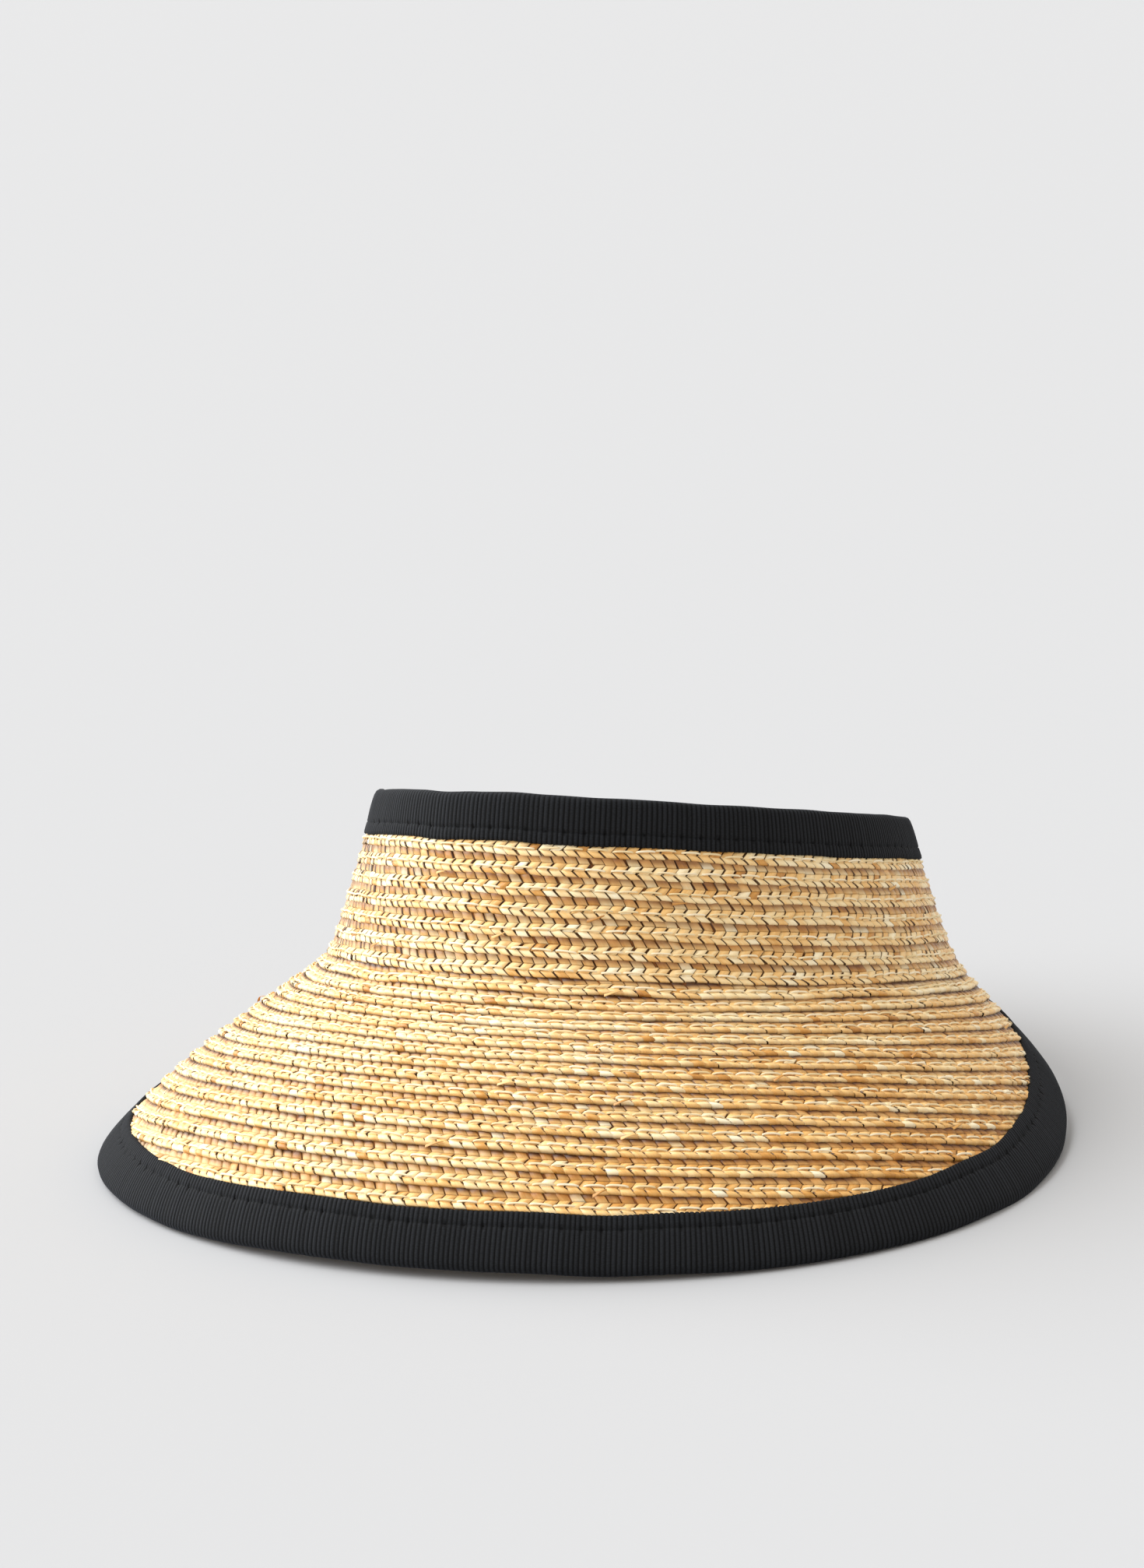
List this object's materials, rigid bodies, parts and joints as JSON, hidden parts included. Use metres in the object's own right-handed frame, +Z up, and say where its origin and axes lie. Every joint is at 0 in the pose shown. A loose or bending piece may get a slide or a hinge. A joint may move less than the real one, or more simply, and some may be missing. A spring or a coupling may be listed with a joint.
{
  "type": "straw sun visor",
  "caption": "Open-topped straw sun visor: a closed crown band of sewn braid rows, a wide curved front brim and a dark folded ribbon binding on both raw edges.",
  "frame": {"origin": "centre of the footprint's bounding box, on the surface that the visor lies on", "axes": "+Z up from that surface, front of the brim towards -Y, +X to the side"},
  "size_m": [0.3014, 0.3058, 0.1185],
  "materials": {
    "straw_braid": "glossy split wheat straw, plaited in a herringbone and sewn in rows",
    "ribbon_binding": "matt cross-ribbed grosgrain, blue-black"
  },
  "bodies": {
    "root": {"crown_braid": "straw_braid", "brim_braid": "straw_braid", "crown_binding": "ribbon_binding", "brim_binding": "ribbon_binding"}
  },
  "joints": []
}
